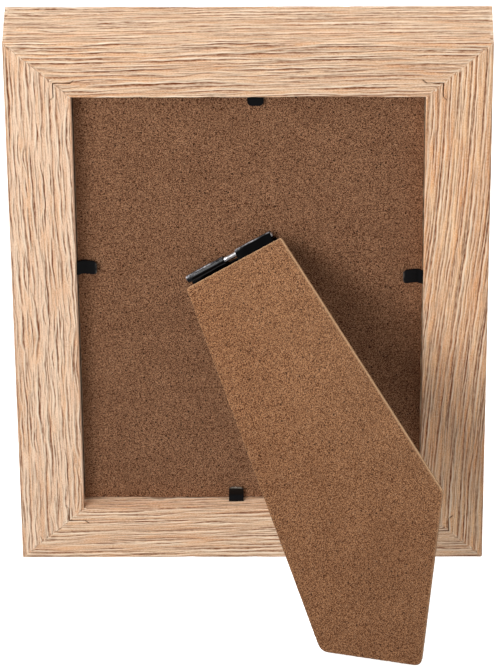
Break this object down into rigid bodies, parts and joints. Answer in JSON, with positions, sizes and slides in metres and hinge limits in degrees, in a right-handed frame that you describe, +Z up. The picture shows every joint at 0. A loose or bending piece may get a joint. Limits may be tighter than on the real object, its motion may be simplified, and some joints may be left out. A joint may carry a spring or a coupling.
{
  "type": "coin display frame",
  "caption": "Mitred oak-finish tabletop frame with glazing, window mat, coin tray and back panel held by bending tabs, standing on a slanted hinged strut.",
  "frame": {"origin": "centre of the base of the bounding box: the table surface that the lower back edge of the frame and the strut's foot stand on", "axes": "+Z up, -Y out of the glazed front, +Y towards the strut; the frame leans back 15.5 degrees about X"},
  "size_m": [0.1416, 0.098, 0.1904],
  "materials": {
    "oak": "oak-grain surface, open grain, satin",
    "hardboard": "smooth hardboard, matt",
    "strut_hardboard": "smooth hardboard, matt, cut edges",
    "black_tab": "matt black",
    "black_hinge": "gloss black",
    "bright_steel": "dull steel, flush with the wood",
    "glass": "clear",
    "mat_card": "off-white mat board",
    "tray_flock": "dark blue flocked board"
  },
  "bodies": {
    "frame": {"rail_top": "oak", "rail_bottom": "oak", "rail_left": "oak", "rail_right": "oak", "v_nail_top_left": "bright_steel", "v_nail_top_right": "bright_steel", "v_nail_bottom_left": "bright_steel", "v_nail_bottom_right": "bright_steel", "tab_root_top": "black_tab", "tab_root_bottom": "black_tab", "tab_root_left": "black_tab", "tab_root_right": "black_tab", "glazing": "glass", "window_mat": "mat_card", "coin_tray": "tray_flock", "back_panel": "hardboard", "hinge_fixed_leaf": "black_hinge", "hinge_pin": "bright_steel", "hinge_rivet_1": "black_hinge", "hinge_rivet_2": "black_hinge"},
    "strut": {"hinge_moving_leaf": "black_hinge", "strut_board": "strut_hardboard"},
    "tab_top": {"tab_top": "black_tab"},
    "tab_bottom": {"tab_bottom": "black_tab"},
    "tab_left": {"tab_left": "black_tab"},
    "tab_right": {"tab_right": "black_tab"}
  },
  "joints": [
    {"name": "strut_hinge", "type": "hinge", "parent": "frame", "child": "strut", "pos_m": [0.0045, -0.00426, 0.1106], "axis": [-0.832, 0.1483, 0.5347], "range_deg": [0, 32.7]},
    {"name": "tab_top_bend", "type": "hinge", "parent": "frame", "child": "tab_top", "pos_m": [-0.002, 0.01143, 0.16773], "axis": [1, 0, 0], "range_deg": [0, 80]},
    {"name": "tab_bottom_bend", "type": "hinge", "parent": "frame", "child": "tab_bottom", "pos_m": [0.0048, -0.02959, 0.01981], "axis": [-1, 0, 0], "range_deg": [0, 80]},
    {"name": "tab_right_bend", "type": "hinge", "parent": "frame", "child": "tab_right", "pos_m": [0.05125, -0.00579, 0.10563], "axis": [0, -0.2672, -0.9636], "range_deg": [0, 80]},
    {"name": "tab_left_bend", "type": "hinge", "parent": "frame", "child": "tab_left", "pos_m": [-0.05125, -0.00673, 0.10225], "axis": [0, 0.2672, 0.9636], "range_deg": [0, 80]}
  ]
}
